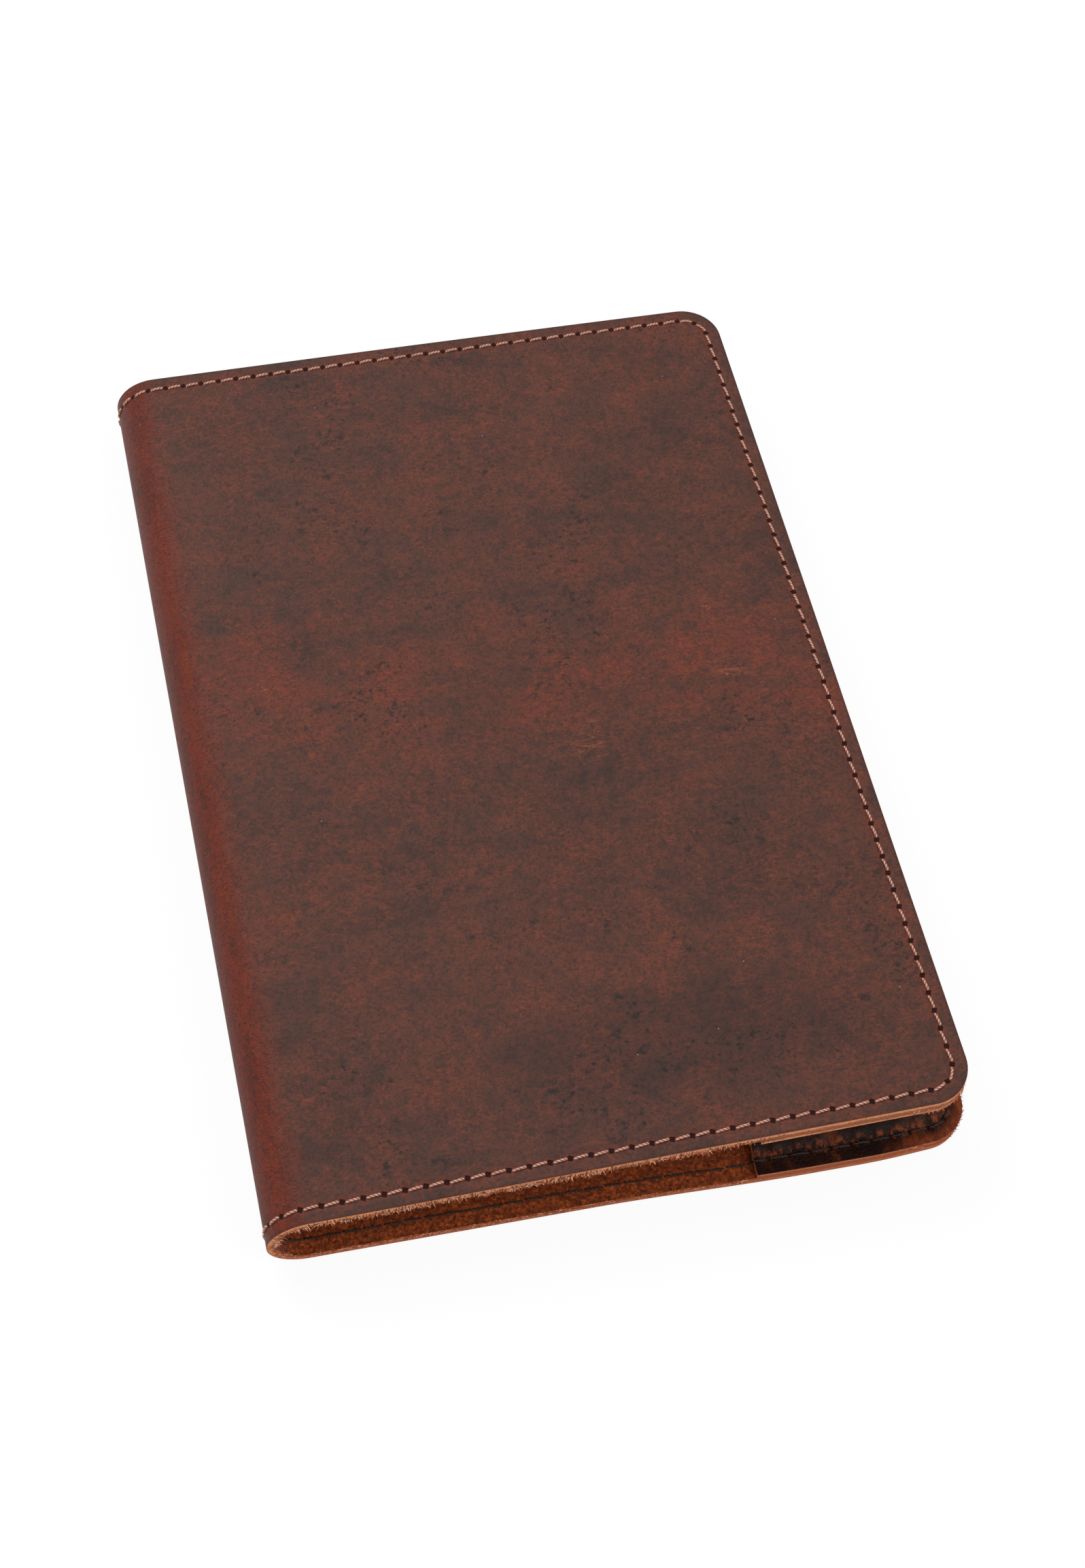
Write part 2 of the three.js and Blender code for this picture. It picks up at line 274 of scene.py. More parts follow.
class Finish:
    def __init__(self, name, constants):
        self.material = bpy.data.materials.new(name)
        self.material.use_nodes = True
        self.nodes = self.material.node_tree.nodes
        self.shader = self.nodes["Principled BSDF"]
        for socket, value in constants.items():
            self.shader.inputs[socket].default_value = value
        self.place = self.node("ShaderNodeTexCoord", {}, {}, "Object")

    def node(self, kind, settings, sockets, output=0):
        made = self.nodes.new(kind)
        for key, value in settings.items():
            if key == "stops":
                ramp = made.color_ramp.elements
                while len(ramp) < len(value):
                    ramp.new(0.5)
                for stop, (position, colour) in zip(ramp, value):
                    stop.position, stop.color = position, (*colour, 1)
            else:
                setattr(made, key, value)
        for key, value in sockets.items():
            if isinstance(value, Signal):
                self.material.node_tree.links.new(value.socket, made.inputs[key])
            else:
                made.inputs[key].default_value = value
        return Signal(self, made.outputs[output])

    def map(self, name):
        return self.node("ShaderNodeUVMap", {"uv_map": name}, {})

    def axis(self, name, source=None):
        return self.node("ShaderNodeSeparateXYZ", {}, {0: source or self.place}, name)

    def stretched(self, scale, rotation=(0, 0, 0), source=None):
        sockets = {"Vector": source or self.place, "Rotation": rotation, "Scale": scale}
        return self.node("ShaderNodeMapping", {}, sockets)

    # Patterns take their size in millimetres. Clouds then take their detail and roughness.
    def clouds(self, size, detail, roughness, source=None, seed=0.0):
        sockets = {"Vector": source or self.place, "W": seed, "Scale": 1 / (size * mm)}
        sockets |= {"Detail": detail, "Roughness": roughness}
        return self.node("ShaderNodeTexNoise", {"noise_dimensions": "4D"}, sockets)

    def cells(self, size, feature="F1", source=None):
        sockets = {"Vector": source or self.place, "Scale": 1 / (size * mm)}
        return self.node("ShaderNodeTexVoronoi", {"feature": feature}, sockets, "Distance")

    # Lets a pattern wander, by so many millimetres over the size given
    def wandering(self, size, amount):
        sockets = {"Vector": self.place, "Scale": 1 / (size * mm), "Detail": 2.0}
        way = self.node("ShaderNodeTexNoise", {}, sockets, "Color")
        added = {0: way, 1: (amount * mm,) * 3, 2: self.place}
        return self.node("ShaderNodeVectorMath", {"operation": "MULTIPLY_ADD"}, added)

    # Thin wispy lines, 1 on the line
    def threads(self, size, width, source, seed):
        return (self.clouds(size, 2, 0.5, source, seed) - 0.5).size().between(width, 0.0)

    def mix(self, share, first, second):
        first = first if isinstance(first, Signal) else (*first, 1)
        second = second if isinstance(second, Signal) else (*second, 1)
        return self.node("ShaderNodeMix", {"data_type": "RGBA"}, {0: share, 6: first, 7: second}, 2)

    def link(self, signal, name):
        self.material.node_tree.links.new(signal.socket, self.shader.inputs[name])

    # What a finish ends with: its colour, how dull it is, and its relief, so deep and so strong
    def done(self, tone, roughness, relief, depth, strength):
        sockets = {"Height": relief, "Distance": depth * mm, "Strength": strength}
        self.link(tone, "Base Color")
        self.link(roughness, "Roughness")
        self.link(self.node("ShaderNodeBump", {}, sockets), "Normal")
        return self.material


# A slanting hole with a ragged edge. It fades over a range given in shares of its size, as the leather rubbed
# round it does; the groove of the seam fades in millimetres.
pricked = {
    "long": (0.85, 0.4), "wide": (0.8, 0.4), "ragged": 0.5, "raggedSize": 0.8,
    "hole": (1.3, 0.85), "halo": (3.2, 0.9), "groove": (1.4, 0.1),
}


# Stitch holes, the leather rubbed round them, and millimetres in from the edge
def seamMarks(finish, holeSize):
    seamMap = finish.map("seam")
    run, inward = finish.axis("X", seamMap), finish.axis("Y", seamMap) * cm
    beside = (run - run.maths("ROUND", run)) * pitch
    off = inward - seam["inset"]
    ragged = (finish.clouds(pricked["raggedSize"], 2, 0.6, seed=8.0) - 0.5) * pricked["ragged"]
    (long, longSlant), (wide, wideSlant) = pricked["long"], pricked["wide"]
    near = (beside * long + off * longSlant).size() + (off * wide - beside * wideSlant).size() + ragged
    hole, halo = (near.between(*(holeSize * reach for reach in pricked[mark])) for mark in ("hole", "halo"))
    return hole, halo, inward


# Colours are linear. A pair that ends in At, Across, Up or From is a range in millimetres over which a look
# fades in. A relief is its depth in millimetres and its strength. A scratch has its angle and its seed.
leather = {
    "specular": 0.17, "hole": 0.62, "relief": (0.1, 0.85), "stops": (0.39, 0.5, 0.62),
    "tones": ((0.047, 0.0226, 0.0172), (0.078, 0.0312, 0.0218), (0.108, 0.0366, 0.0234)),
    "red": (0.138, 0.0300, 0.0162), "fibre": (0.262, 0.0490, 0.0220), "soot": (0.0165, 0.0140, 0.0142),
    "scratch": (0.40, 0.098, 0.034), "dust": (0.62, 0.56, 0.50), "rubbed": (0.150, 0.0300, 0.0140),
    "rim": (0.042, 0.0125, 0.0070), "pit": (0.0075, 0.0012, 0.0010),
    "spine": (0.172, 0.0205, 0.0045), "spineAt": (-63.5, -72.0), "spineStreak": (0.066, 0.0100, 0.0040),
    # painted shade on the spine: its colour, and the heights over which it darkens the spine low down
    "spinePaintedShade": (0.060, 0.0085, 0.0032), "spinePaintedShadeAt": (20.5, 11.0),
    "bandAt": 9.0, "bandSlope": -0.09, "bandHalf": 24.0, "bandWander": 50, "bandFade": 5,
    "sootSpot": (17.0, -84.0), "sootReach": (46.0, 15.0), "largeSpot": 3.4, "smallSpot": 1.5,
    "scuffs": ((15.1, -9.6), (-54.1, 15.3), (51.5, 5.5), (49.5, 21.5), (36.0, -16.0)),
    "scuffReach": (7.0, 5.0, 8.0, 4.0, 3.5),
    "scratchWays": ((1.2, 3.0), (0.35, 4.0), (-0.55, 5.0)), "scratchWidth": 0.0085,
}


# Soft sooty spots in clusters, and a wide darker place near the tail
def sootSpots(finish, x, y, patch, mottle, grit):
    clusters = finish.clouds(19, 3, 0.6, seed=7.7).between(0.47, 0.64)
    drawn = finish.stretched((0.75, 1.0, 1.0), (0, 0, 0.2), finish.wandering(2.0, 1.6))
    large = finish.cells(leather["largeSpot"], source=drawn) + (grit - 0.5) * 0.7 + (mottle - 0.5) * 0.8
    small = finish.cells(leather["smallSpot"], source=drawn) + (grit - 0.5) * 0.9
    farX = (x - leather["sootSpot"][0]) / leather["sootReach"][0]
    farY = (y - leather["sootSpot"][1]) / leather["sootReach"][1]
    wide = (farX * farX + farY * farY + (patch - 0.5) * 2.2).between(1.1, 0.1)
    large = large.between(0.36, -0.05) * clusters
    small = small.between(0.42, 0.0) * clusters.between(0.4, 0.9)
    return (large * 0.85 + small * 0.7 + wide * 0.3).atMost(0.85)


# Short scratches that cross each other, in a few places only
def scuffMarks(finish, x, y, patch, mottle):
    scuffed = None
    for (placeX, placeY), reach in zip(leather["scuffs"], leather["scuffReach"]):
        near = ((x - placeX) * (x - placeX) + (y - placeY) * (y - placeY)) / (reach * reach)
        near = (near + (patch - 0.5) * 3.2 + (mottle - 0.5) * 1.5).between(1.0, 0.0)
        scuffed = near if scuffed is None else scuffed.atLeast(near)
    loose = finish.wandering(9.0, 3.0)
    lines = None
    for angle, seed in leather["scratchWays"]:
        along = finish.stretched((0.13, 1.0, 1.0), (0, 0, angle), loose)
        line = finish.threads(2.6, leather["scratchWidth"], along, seed)
        lines = line if lines is None else lines.atLeast(line)
    strays = finish.clouds(11, 2, 0.5, seed=5.5).between(0.68, 0.76) * 0.3
    return lines * (scuffed * 0.6).atLeast(strays) * mottle.between(0.4, 0.56)


def grainLeather():
    finish = Finish("grain_leather", {"Specular IOR Level": leather["specular"]})
    x, y, z = (finish.axis(n) / mm for n in "XYZ")
    hole, halo, inward = seamMarks(finish, leather["hole"])
    groove = (inward - seam["inset"]).size().between(*pricked["groove"])
    broad = finish.clouds(36, 4, 0.6, seed=1.3)
    patch = finish.clouds(12, 5, 0.65, seed=4.1)
    mottle = finish.clouds(2.4, 4, 0.7, seed=2.2)
    grit = finish.clouds(0.65, 3, 0.75, seed=6.2)
    streaks = finish.clouds(7, 4, 0.65, finish.stretched((0.35, 1.0, 1.0), (0, 0, 0.08)), 6.0)
    # redder where the sheet was pulled: a band across the middle, and patches
    slope = y - x * leather["bandSlope"] - leather["bandAt"] + (broad - 0.5) * leather["bandWander"]
    band = slope.size().between(leather["bandHalf"], leather["bandFade"])
    band = band * (0.25 + 0.75 * patch.between(0.36, 0.6))
    patches = patch.between(0.48, 0.72) * streaks.between(0.42, 0.62)
    pulled = (band * (0.15 + streaks.between(0.36, 0.66)) + patches * 0.42).atMost(1.0)
    worn = broad * 0.24 + patch * 0.18 + streaks * 0.27 + mottle * 0.31
    stops = list(zip(leather["stops"], leather["tones"]))
    tone = finish.node("ShaderNodeValToRGB", {"stops": stops}, {0: worn})
    tone = finish.mix(pulled * 0.55, tone, leather["red"])
    # the spine: redder still, streaked along its length, and darker low down as painted shade where it curves
    # under
    spine = (x + (mottle - 0.5) * 4 + (patch - 0.5) * 8).between(*leather["spineAt"])
    drawnOut = finish.clouds(5, 4, 0.7, finish.stretched((1.5, 0.35, 1.0)), 9.0)
    streaked = drawnOut.between(0.56, 0.38) * 0.5 + grit.between(0.54, 0.38) * 0.3
    tone = finish.mix(spine, tone, leather["spine"])
    tone = finish.mix(spine * streaked, tone, leather["spineStreak"])
    tone = finish.mix(spine * z.between(*leather["spinePaintedShadeAt"]) * 0.45, tone, leather["spinePaintedShade"])
    # wispy fibres that run mostly across the sheet
    bent = finish.wandering(5.0, 2.2)
    wisps = finish.threads(0.75, 0.05, finish.stretched((0.2, 1.0, 1.0), (0, 0, 0.06), bent), 1.0)
    crossing = finish.threads(0.6, 0.045, finish.stretched((0.3, 1.0, 1.0), (0, 0, -0.5), bent), 2.0)
    raised = patch.between(0.3, 0.6) * (0.3 + 0.7 * mottle.between(0.38, 0.56))
    fibres = (wisps * raised).atLeast(crossing * raised * 0.6) * (1 - 0.5 * spine)
    tone = finish.mix(fibres * (0.40 + 0.12 * pulled), tone, leather["fibre"])
    tone = finish.mix(grit.between(0.55, 0.37) * 0.52, tone, leather["soot"])
    sooty = sootSpots(finish, x, y, patch, mottle, grit) * (1 - spine)
    tone = finish.mix(sooty, tone, leather["soot"])
    scratches = scuffMarks(finish, x, y, patch, mottle)
    tone = finish.mix(scratches, tone, leather["scratch"])
    tone = finish.mix(finish.cells(7.0).between(0.018, 0.008) * 0.8, tone, leather["dust"])
    # the seam: rubbed round the stitches, dark in the holes, darker again at the rim
    tone = finish.mix(groove * 0.18 + halo * 0.4, tone, leather["rubbed"])
    tone = finish.mix(inward.between(0.8, 0.0) * 0.5, tone, leather["rim"])
    tone = finish.mix(hole * 0.94, tone, leather["pit"])
    pores = finish.cells(0.75, "DISTANCE_TO_EDGE", finish.stretched((1, 1.3, 1), (0, 0, 0.3)))
    creases = finish.cells(2.1, "DISTANCE_TO_EDGE", finish.stretched((1.0, 1.8, 1.0), (0, 0, -0.2), bent))
    relief = pores.between(0.0, 0.2) * (0.35 + 0.5 * spine) + creases.between(0.0, 0.1) * (0.2 + 0.5 * spine)
    relief = relief + mottle * 0.3 + grit * 0.35 - fibres * 0.3 - scratches * 0.5 - 5.0 * hole - 1.0 * halo
    roughness = 0.50 + 0.14 * patch + 0.12 * sooty - 0.08 * spine + 0.25 * hole
    return finish.done(tone, roughness, relief, *leather["relief"])


rawLeather = {
    "specular": 0.2, "relief": (0.16, 0.9), "fibre": ((0.40, 0.122, 0.044), (0.80, 0.315, 0.140)),
    "flesh": (0.110, 0.024, 0.007), "grainLine": (0.075, 0.022, 0.011), "blot": (0.15, 0.038, 0.015),
    "low": (0.36, 0.078, 0.022), "lowAt": (9.0, 2.0), "frayedUp": (-100, -106), "frayedAcross": (34, 24),
}


def rawEdge():
    finish = Finish("raw_edge", {"Specular IOR Level": rawLeather["specular"]})
    layers = finish.map("layers")
    lengthened = finish.stretched((pitch * mm, 0.45 * mm, 1), (0, 0, 0.5), layers)
    depth = finish.axis("Y", layers)
    x, y, z = (finish.axis(n) / mm for n in "XYZ")
    # frayed most at the tail, where the flesh side is raw
    frayed = y.between(*rawLeather["frayedUp"]) * x.between(*rawLeather["frayedAcross"])
    teeth = finish.clouds(0.42, 2, 0.6, lengthened, 4.0)
    fibres = finish.clouds(0.32, 4, 0.75, finish.stretched((0.45, 1, 1)), 1.0)
    blots = finish.clouds(2.6, 4, 0.65, seed=2.0)
    flesh = (depth + (blots - 0.5) * 0.5 + (0.5 - teeth) * (0.5 + 2.9 * frayed)).between(0.42, 0.62)
    tone = finish.mix(fibres.between(0.3, 0.7), *rawLeather["fibre"])
    tone = finish.mix(flesh * (0.68 + 0.24 * frayed), tone, rawLeather["flesh"])
    tone = finish.mix(depth.between(0.16, 0.02) * 0.7, tone, rawLeather["grainLine"])
    tone = finish.mix(blots.between(0.54, 0.72) * 0.5, tone, rawLeather["blot"])
    tone = finish.mix(z.between(*rawLeather["lowAt"]) * 0.6, tone, rawLeather["low"])
    return finish.done(tone, 0.72 + 0.15 * fibres, fibres + 0.5 * blots - flesh, *rawLeather["relief"])


napSide = {
    "specular": 0.1, "sheen": 0.08, "sheenRoughness": 0.5, "relief": (0.35, 1.0),
    "nap": ((0.085, 0.0130, 0.0030), (0.500, 0.1020, 0.0200)), "between": (0.075, 0.0150, 0.0045),
    "dragged": (0.100, 0.0200, 0.0065),
}


def suede():
    finish = Finish("suede", {"Specular IOR Level": napSide["specular"], "Sheen Weight": napSide["sheen"],
                              "Sheen Roughness": napSide["sheenRoughness"]})
    napped = finish.clouds(0.75, 5, 0.85, seed=1.0)
    tufts = finish.cells(0.95, source=finish.wandering(1.2, 0.8))
    drag = finish.clouds(2.0, 4, 0.65, finish.stretched((1, 0.45, 1), (0, 0, 0.5)), 2.0)
    wide = finish.clouds(14, 3, 0.6, seed=3.0)
    tone = finish.mix(napped.between(0.38, 0.62), *napSide["nap"])
    tone = finish.mix(tufts.between(0.3, 0.7) * 0.5, tone, napSide["between"])
    dragged = drag.between(0.5, 0.75) * 0.45 + wide.between(0.5, 0.75) * 0.3
    tone = finish.mix(dragged, tone, napSide["dragged"])
    return finish.done(tone, 0.86 + 0.1 * napped, napped - tufts * 0.8 + drag * 0.8, *napSide["relief"])


liner = {
    "specular": 0.11, "hole": 0.5, "relief": (0.12, 0.8),
    "dark": ((0.0065, 0.0016, 0.0010), (0.022, 0.0050, 0.0022)), "pit": (0.004, 0.0015, 0.0015),
    "worn": (0.240, 0.0480, 0.0085), "crest": (0.260, 0.0520, 0.0110), "rim": (0.300, 0.060, 0.018),
    "wornFrom": (20, 8), "besideAt": (1.0, 6), "crestAt": 4.6, "rimAt": (2.8, 0.6), "rimAcross": (56, 70),
}


def pocketLeather():
    finish = Finish("pocket_leather", {"Specular IOR Level": liner["specular"]})
    hole, halo, inward = seamMarks(finish, liner["hole"])
    wide = finish.clouds(7, 4, 0.62, seed=1.0)
    small = finish.clouds(1.4, 4, 0.7, seed=6.0)
    streaks = finish.clouds(1.7, 4, 0.7, finish.stretched((1.0, 0.6, 1.0), (0, 0, 0.6)), 2.0)
    someStreaks = streaks.between(0.4, 0.6)
    tone = finish.mix(wide.between(0.3, 0.7), *liner["dark"])
    worn = (0.35 + 0.65 * someStreaks) * wide.between(0.52, 0.68)
    worn = worn * (0.2 + 0.8 * inward.between(*liner["wornFrom"]))
    besideAt, strays = liner["besideAt"]
    besides = (inward - seam["inset"] - besideAt + (streaks - 0.5) * strays).size().between(1.5, 0.3)
    besides = besides * streaks.between(0.46, 0.58)
    tone = finish.mix((worn * 0.5 + besides * 0.7 + halo * 0.1).atMost(0.9), tone, liner["worn"])
    # the puckers between the stitches are worn on their crests, and the rim at the fore edge
    run = finish.axis("X", finish.map("seam"))
    crest = (run * (2 * math.pi)).cosine().between(-0.2, -0.95)
    crest = crest * (inward - liner["crestAt"]).size().between(1.1, 0.1)
    tone = finish.mix(crest * someStreaks * 0.6, tone, liner["crest"])
    rim = inward.between(*liner["rimAt"]) * (finish.axis("X") / mm).between(*liner["rimAcross"])
    tone = finish.mix(rim * (0.5 + 0.5 * someStreaks) * 0.8, tone, liner["rim"])
    tone = finish.mix(hole * 0.9, tone, liner["pit"])
    pores = finish.cells(0.9, "DISTANCE_TO_EDGE")
    relief = pores.between(0.0, 0.15) * 0.4 + small * 1.0 - 4.0 * hole - 1.2 * halo
    roughness = 0.30 + 0.26 * small + 0.2 * hole
    return finish.done(tone, roughness, relief, *liner["relief"])


yarn = {
    "specular": 0.3, "turns": 5.0, "plies": 2.0, "relief": (0.1, 0.9),
    # Each thread's darker and lighter tone and its roughness. The lighter tone is a painted highlight on the
    # plies' crests, and the darker one is also painted shade in the grooves between them.
    "outer": ((0.26, 0.095, 0.062), (0.68, 0.385, 0.295), 0.5),
    "inner": ((0.003, 0.0015, 0.0012), (0.050, 0.030, 0.026), 0.3),
}


def twistedThread(name, dark, light, roughness):
    finish = Finish(name, {"Specular IOR Level": yarn["specular"]})
    lie = finish.map("thread")
    twist = finish.axis("X", lie) * yarn["turns"] + finish.axis("Y", lie) * yarn["plies"]
    plies = (twist * (2 * math.pi)).cosine()
    down = finish.clouds(0.16, 3, 0.7, seed=1.0)
    each = finish.clouds(5, 1, 0.5, seed=2.0)
    # painted light: each ply lighter on its crest as a painted highlight, and darker in the grooves as painted
    # shade
    tone = finish.mix(plies.between(-0.9, 0.4) * (0.65 + 0.35 * down), dark, light)
    tone = finish.mix(each.between(0.5, 0.75) * 0.3, tone, dark)
    return finish.done(tone, roughness + 0.2 * down, plies.between(-1, 0.4) + 0.25 * down, *yarn["relief"])


looseEnds = {
    "roughness": 0.8, "specular": 0.15, "tones": ((0.55, 0.150, 0.065), (0.92, 0.56, 0.38)),
    "fore": (0.42, 0.070, 0.030), "foreAt": (62.0, 71.0),
}


def looseFibre():
    dull = {"Roughness": looseEnds["roughness"], "Specular IOR Level": looseEnds["specular"]}
    finish = Finish("loose_fibre", dull)
    each = finish.clouds(1.2, 2, 0.6, seed=1.0)
    tone = finish.mix(each.between(0.4, 0.6), *looseEnds["tones"])
    tone = finish.mix((finish.axis("X") / mm).between(*looseEnds["foreAt"]) * 0.85, tone, looseEnds["fore"])
    finish.link(tone, "Base Color")
    return finish.material


board = {
    "specular": 0.3, "tones": ((0.20, 0.125, 0.068), (0.30, 0.20, 0.115)), "fleck": (0.10, 0.055, 0.028),
    "relief": (0.05, 0.5),
}


def cardBoard():
    finish = Finish("refill_card", {"Specular IOR Level": board["specular"]})
    fibres = finish.clouds(0.7, 4, 0.7, finish.stretched((1, 0.5, 1)), 1.0)
    tone = finish.mix(fibres, *board["tones"])
    tone = finish.mix(finish.cells(1.9).between(0.16, 0.08) * 0.45, tone, board["fleck"])
    return finish.done(tone, 0.78 + 0.1 * fibres, fibres, *board["relief"])


leaf = {
    "specular": 0.2, "tones": ((0.60, 0.525, 0.40), (0.74, 0.675, 0.555)), "fleck": (0.34, 0.25, 0.15),
    "relief": (0.03, 0.5),
}


def pagePaper():
    finish = Finish("page_paper", {"Specular IOR Level": leaf["specular"]})
    fibres = finish.clouds(0.6, 4, 0.7, seed=5.0)
    toned = finish.clouds(30, 3, 0.6, seed=1.0)
    tone = finish.mix(fibres * 0.6 + toned * 0.4, *leaf["tones"])
    tone = finish.mix(finish.cells(2.8).between(0.05, 0.02) * 0.4, tone, leaf["fleck"])
    return finish.done(tone, 0.84 + 0.08 * fibres, fibres, *leaf["relief"])


grain, edge, nap, lining = grainLeather(), rawEdge(), suede(), pocketLeather()
outerThread = twistedThread("outer_thread", *yarn["outer"])
innerThread = twistedThread("inner_thread", *yarn["inner"])
card, paper, wisp = cardBoard(), pagePaper(), looseFibre()
print("materials ready")

# How sheets are cut, and how far a face of one leans before it counts as its edge
cutting = {
    "cornerSegments": 14, "edgeSegments": 3, "edgeAngle": math.radians(60),
    "grainSide": 0.4, "suedeSide": -0.7,
}


def steps(low, high, size):
    count = max(1, round((high - low) / size))
    return [low + (high - low) * k / count for k in range(1, count)]


# A flat sheet from low to high, its corners rounded at some ends, with rings along its edge and a grid inside
def cutSheet(name, cut, low, high, roundedAt, acrossAt):
    clearSelection()
    bpy.ops.mesh.primitive_plane_add(size=1)
    sheet = bpy.context.object
    rename(sheet, name)
    sheet.scale = (high - low, cut["height"], 1)
    sheet.location = ((low + high) / 2, 0, 0)
    bpy.ops.object.transform_apply(location=True, scale=True)
    edit(sheet, "VERT", lambda vertex: min(abs(vertex.co.x - end) for end in roundedAt) < 1)
    bpy.ops.mesh.bevel(offset=cut["corner"], offset_type="OFFSET", segments=cutting["cornerSegments"],
                       profile=0.5, affect="VERTICES")
    edit(sheet)
    for ring in cut["rings"]:
        bpy.ops.mesh.inset(thickness=ring, depth=0, use_even_offset=True)
    upAt = steps(-cut["height"] / 2, cut["height"] / 2, cut["step"])
    for place, normal in [((x, 0, 0), (1, 0, 0)) for x in acrossAt] + [((0, y, 0), (0, 1, 0)) for y in upAt]:
        bpy.ops.mesh.select_all(action="SELECT")
        bpy.ops.mesh.bisect(plane_co=place, plane_no=normal, use_fill=False)
    bpy.ops.object.mode_set(mode="OBJECT")
    wall = sheet.modifiers.new("thickness", "SOLIDIFY")
    wall.thickness, wall.offset = cut["thickness"], -1
    bpy.ops.object.modifier_apply(modifier="thickness")
    rub = sheet.modifiers.new("rubbed edge", "BEVEL")
    rub.width, rub.segments = cut["rubbed"], cutting["edgeSegments"]
    rub.limit_method, rub.angle_limit = "ANGLE", cutting["edgeAngle"]
    bpy.ops.object.modifier_apply(modifier="rubbed edge")
    return sheet


# Painting goes by two maps: stitches along and centimetres in from the edge, and depth through the leather.
def mapSeam(obj, thickness):
    layers = obj.data.uv_layers
    layers[0].name = "seam"
    layers.new(name="layers")
    places = [(*seamPlace(v.co.x, v.co.y), -v.co.z / thickness) for v in obj.data.vertices]
    for loop in obj.data.loops:
        run, inward, depth = places[loop.vertex_index]
        layers["seam"].data[loop.index].uv = (run / pitch, inward / cm)
        layers["layers"].data[loop.index].uv = (run / pitch, depth)


# The grain side down to a depth, the suede side, and the raw edge between them
def paintSheet(sheet, top, depth=math.inf):
    paint(sheet, top, edge, nap)
    for face in sheet.data.polygons:
        if face.normal.z > cutting["grainSide"] and face.center.z > -depth:
            face.material_index = 0
        else:
            face.material_index = 2 if face.normal.z < cutting["suedeSide"] else 1


# The hide is cut apart in the middle of each spine strip, into a piece for each stretch between those cuts and
# the sheet's ends.
def cutCover():
    midStrips = [-halfArc + cover["spineRadius"] * stripTurn * k for k in range(1, cover["strips"] + 1)]
    soft = halfArc + cover["softBeyond"]
    inSpine = [-soft] + steps(-soft, midStrips[0], cover["spineStep"])
    for low, high in zip(midStrips, midStrips[1:] + [soft]):
        inSpine += [low] + steps(low, high, cover["spineStep"])
    inSpine.append(soft)
    inBack, inFront = steps(-halfWidth, -soft, cover["step"]), steps(soft, halfWidth, cover["step"])
    foreEnds = (-halfWidth, halfWidth)
    sheet = cutSheet("hide", cover, -halfWidth, halfWidth, foreEnds, inBack + inSpine + inFront)
    mapSeam(sheet, cover["thickness"])
    paintSheet(sheet, grain, cover["rubbed"] / 2)
    pieces = []
    limits = [-halfWidth - 1] + midStrips + [halfWidth + 1]
    names = ["back_hide"] + ["spine_hide_%d" % k for k in range(1, cover["strips"])] + ["front_hide"]
    for name, low, high in zip(names, limits, limits[1:]):
        part = twin(sheet)
        rename(part, name)
        edit(part, "FACE", lambda face: not low < face.center.x < high)
        bpy.ops.mesh.delete(type="FACE")
        bpy.ops.mesh.select_mode(type="EDGE")
        bpy.ops.mesh.select_all(action="DESELECT")
        bpy.ops.mesh.select_non_manifold(extend=False, use_boundary=True, use_wire=False, use_verts=False,
                                         use_multi_face=False, use_non_contiguous=False)
        bpy.ops.mesh.fill_holes(sides=0)
        bpy.ops.object.mode_set(mode="OBJECT")
        for vertex in part.data.vertices:
            vertex.co = folded(vertex.co.x, vertex.co.y, -vertex.co.z)
        finishUp(part)
        pieces.append(part)
    bpy.data.objects.remove(sheet)
    return pieces, midStrips


# Where the sheet bends between two strips: from the one strip's middle to the other's
def bendEnds(number):
    angle = stripTurn * (number + 0.5)
    spread = stripTurn / 2
    hinge = Vector((-math.sin(angle), 0, -math.cos(angle)))
    tangent = Vector((-math.cos(angle), 0, math.sin(angle)))
    inner = cover["spineRadius"] - cover["thickness"]
    middle = spineCentre + hinge * cover["spineRadius"] * math.cos(spread)
    reach = tangent * inner * math.sin(spread) * cover["hingeShare"]
    return (middle - reach) * mm, (middle + reach) * mm


bodyOrder = ["back_cover"] + ["spine_%d" % k for k in range(1, cover["strips"] + 1)] + ["front_cover"]


def bendWithSpine(piece, number):
    start, end = bendEnds(number)
    bodyOrder[number + 1]
    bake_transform(piece)


hides, midStrips = cutCover()
print("hide cut and folded")


# Room between the cover's inside and the pocket's
def pocketLift(along, y):
    run, inward = seamPlace(along, y)
    phase = math.cos(2 * math.pi * run / pitch)
    between = 0.5 - 0.5 * phase
    lift = pocket["slot"] * smoothStep(*pocket["slotFrom"], inward)
    lift += pocket["pucker"] * between * bell(inward, *pocket["puckerAt"])
    lift += pocket["rimPucker"] * between * bell(inward, *pocket["rimPuckerAt"])
    lift -= pocket["pull"] * phase * bell(inward, seam["inset"], pocket["pullWidth"])
    return pocket["room"] + max(0.0, lift)


def sewPocket(side):
    acrossAt = steps(pocketFrom, halfWidth, pocket["step"])
    sheet = cutSheet(side + "_pocket_hide", pocket, pocketFrom, halfWidth, (halfWidth,), acrossAt)
    mapSeam(sheet, pocket["thickness"])
    paintSheet(sheet, lining)
    facing = 1 if side == "front" else -1
    for vertex in sheet.data.vertices:
        along, y, level = vertex.co
        # the sheet lies grain side inwards, so its top face ends up deepest in the notebook
        depth = cover["thickness"] + pocketLift(along, y) + pocket["thickness"] + level
        vertex.co = folded(facing * along, y, depth)
    if facing > 0:
        edit(sheet)
        bpy.ops.mesh.flip_normals()
        bpy.ops.object.mode_set(mode="OBJECT")
    finishUp(sheet)
    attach(sheet, side + "_cover")
    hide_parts(side + "_pocket")


for side in ("back", "front"):
    sewPocket(side)
print("pockets sewn")


